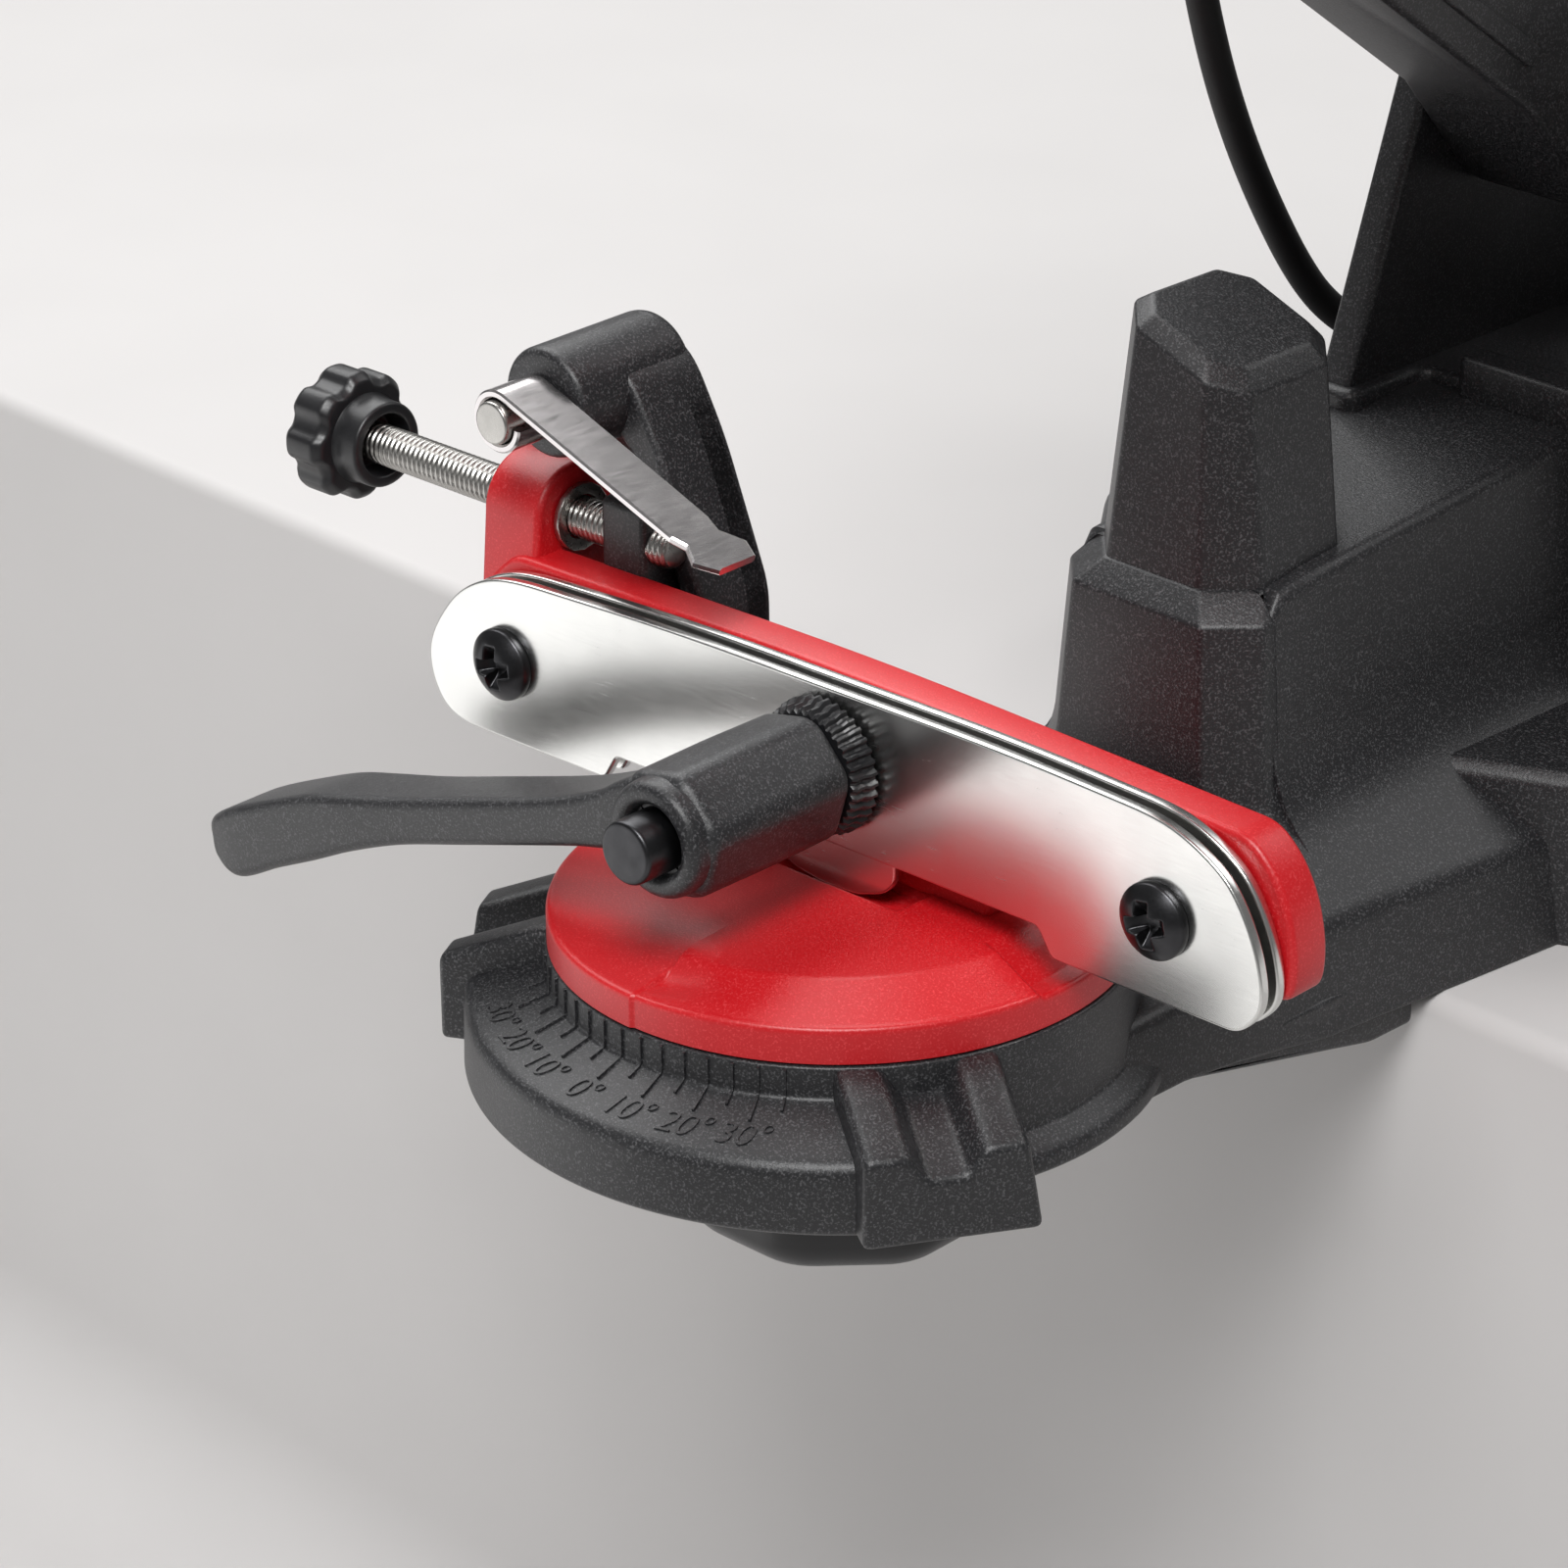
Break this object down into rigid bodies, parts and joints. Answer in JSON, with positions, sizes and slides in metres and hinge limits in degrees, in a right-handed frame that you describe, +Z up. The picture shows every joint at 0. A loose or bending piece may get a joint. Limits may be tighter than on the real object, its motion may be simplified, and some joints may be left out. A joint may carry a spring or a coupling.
{
  "type": "cordless chainsaw sharpener",
  "caption": "Bench grinder for saw chain: angle-set swivelling chain vice with clamp lever and stop, and a tilting battery-powered grinding head.",
  "frame": {"origin": "on the flat underside of the base, on the centre plane of the machine, 170 mm behind the axis of the swivelling chain vice", "axes": "+X to the right along the bench edge, +Y back over the bench, +Z up; the vice stands at -Y"},
  "size_m": [0.2153, 0.3145, 0.2986],
  "materials": {
    "black_plastic": "textured moulded glass-filled plastic",
    "red_plastic": "semi-matte moulded plastic",
    "zinc_plate": "satin zinc-plated steel",
    "bright_steel": "bright steel",
    "black_oxide": "black oxide steel",
    "rubber": "soft black rubber",
    "brass": "plain brass",
    "abrasive": "bonded abrasive grain"
  },
  "bodies": {
    "base": {"base_housing": "black_plastic", "base_plate": "black_plastic", "base_screw_1": "bright_steel", "base_screw_2": "bright_steel", "base_screw_3": "bright_steel", "base_screw_4": "bright_steel", "pivot_shaft": "bright_steel", "pivot_nut": "bright_steel", "return_spring": "bright_steel", "battery_dock": "black_plastic", "terminal_block": "brass", "cable_gland_base": "rubber", "head_cable": "rubber"},
    "seat": {"turntable": "red_plastic", "rail_front": "zinc_plate", "rail_rear": "zinc_plate", "rail_spacer": "bright_steel", "rail_screw_left": "black_oxide", "rail_screw_right": "black_oxide", "clamp_spindle": "black_oxide", "clamp_washer": "black_oxide"},
    "lock": {"lock_knob": "black_plastic", "swivel_bolt": "bright_steel", "swivel_washer": "zinc_plate"},
    "clamp": {"clamp_lever": "black_plastic"},
    "adjuster": {"adjusting_screw": "bright_steel", "star_knob": "rubber", "screw_clip_outer": "bright_steel", "screw_clip_inner": "bright_steel"},
    "chain_stop": {"stop_carrier": "black_plastic", "pawl_pin": "bright_steel"},
    "pawl": {"stop_pawl": "bright_steel"},
    "head": {"tilt_arm": "black_plastic", "depth_lock_nut": "bright_steel", "cable_gland_head": "rubber", "guard_housing": "black_plastic", "guard_cover": "red_plastic", "guard_screw_1": "black_oxide", "guard_screw_2": "black_oxide", "guard_screw_3": "black_oxide", "front_bearing": "bright_steel", "bearing_carrier": "zinc_plate", "motor": "bright_steel", "motor_housing": "red_plastic", "motor_cap": "black_plastic", "handle": "black_plastic"},
    "wheel": {"grinding_wheel": "abrasive", "flange_inner": "bright_steel", "flange_outer": "bright_steel", "arbor_nut": "bright_steel", "arbor": "bright_steel"},
    "trigger": {"trigger": "red_plastic"},
    "depth_stop": {"depth_screw": "black_oxide"},
    "battery": {"battery_pack": "black_plastic"},
    "battery_button": {"battery_button": "red_plastic"}
  },
  "joints": [
    {"name": "swivel", "type": "hinge", "parent": "base", "child": "seat", "pos_m": [0, -0.17, 0.0245], "axis": [0, 0, 1], "range_deg": [-37.4, 32.6]},
    {"name": "lock_turn", "type": "hinge", "parent": "seat", "child": "lock", "pos_m": [0, -0.17, -0.01], "axis": [0, 0, -1], "range_deg": [0, 360]},
    {"name": "clamp_turn", "type": "hinge", "parent": "seat", "child": "clamp", "pos_m": [0.00084, -0.18998, 0.05], "axis": [0.0419, -0.9991, 0], "range_deg": [-90, 0]},
    {"name": "adjuster_turn", "type": "hinge", "parent": "seat", "child": "adjuster", "pos_m": [-0.09042, -0.16178, 0.064], "axis": [0.9991, 0.0419, 0], "range_deg": [-2150, 2150]},
    {"name": "stop_slide", "type": "slide", "parent": "seat", "child": "chain_stop", "axis": [0.9991, 0.0419, 0], "range_m": [-0.00597, 0.00597]},
    {"name": "pawl_swing", "type": "hinge", "parent": "chain_stop", "child": "pawl", "pos_m": [-0.06045, -0.17253, 0.083], "axis": [-0.0419, 0.9991, 0], "range_deg": [-75, 3]},
    {"name": "head_tilt", "type": "hinge", "parent": "base", "child": "head", "pos_m": [0, -0.02, 0.105], "axis": [1, 0, 0], "range_deg": [0, 36], "stiffness_Nm_per_rad": 1.2, "springref_deg": -126.05},
    {"name": "wheel_spin", "type": "hinge", "parent": "head", "child": "wheel", "pos_m": [0, -0.1343, 0.20288], "axis": [1, 0, 0], "continuous": true},
    {"name": "trigger_press", "type": "slide", "parent": "head", "child": "trigger", "axis": [0, 0.5878, 0.809], "range_m": [0, 0.004], "stiffness_N_per_m": 400, "springref_m": -0.004},
    {"name": "depth_turn", "type": "hinge", "parent": "head", "child": "depth_stop", "pos_m": [0, -0.06326, 0.17475], "axis": [0, 0.5878, 0.809], "range_deg": [-720, 720]},
    {"name": "battery_slide", "type": "slide", "parent": "base", "child": "battery", "axis": [0, 0, 1], "range_m": [0, 0.11]},
    {"name": "button_press", "type": "slide", "parent": "battery", "child": "battery_button", "axis": [0, -1, 0], "range_m": [0, 0.0025], "stiffness_N_per_m": 500, "springref_m": -0.002}
  ],
  "couplings": [
    {"joint": "adjuster_turn", "follows": "stop_slide", "rad_per_m": -6283.2}
  ]
}
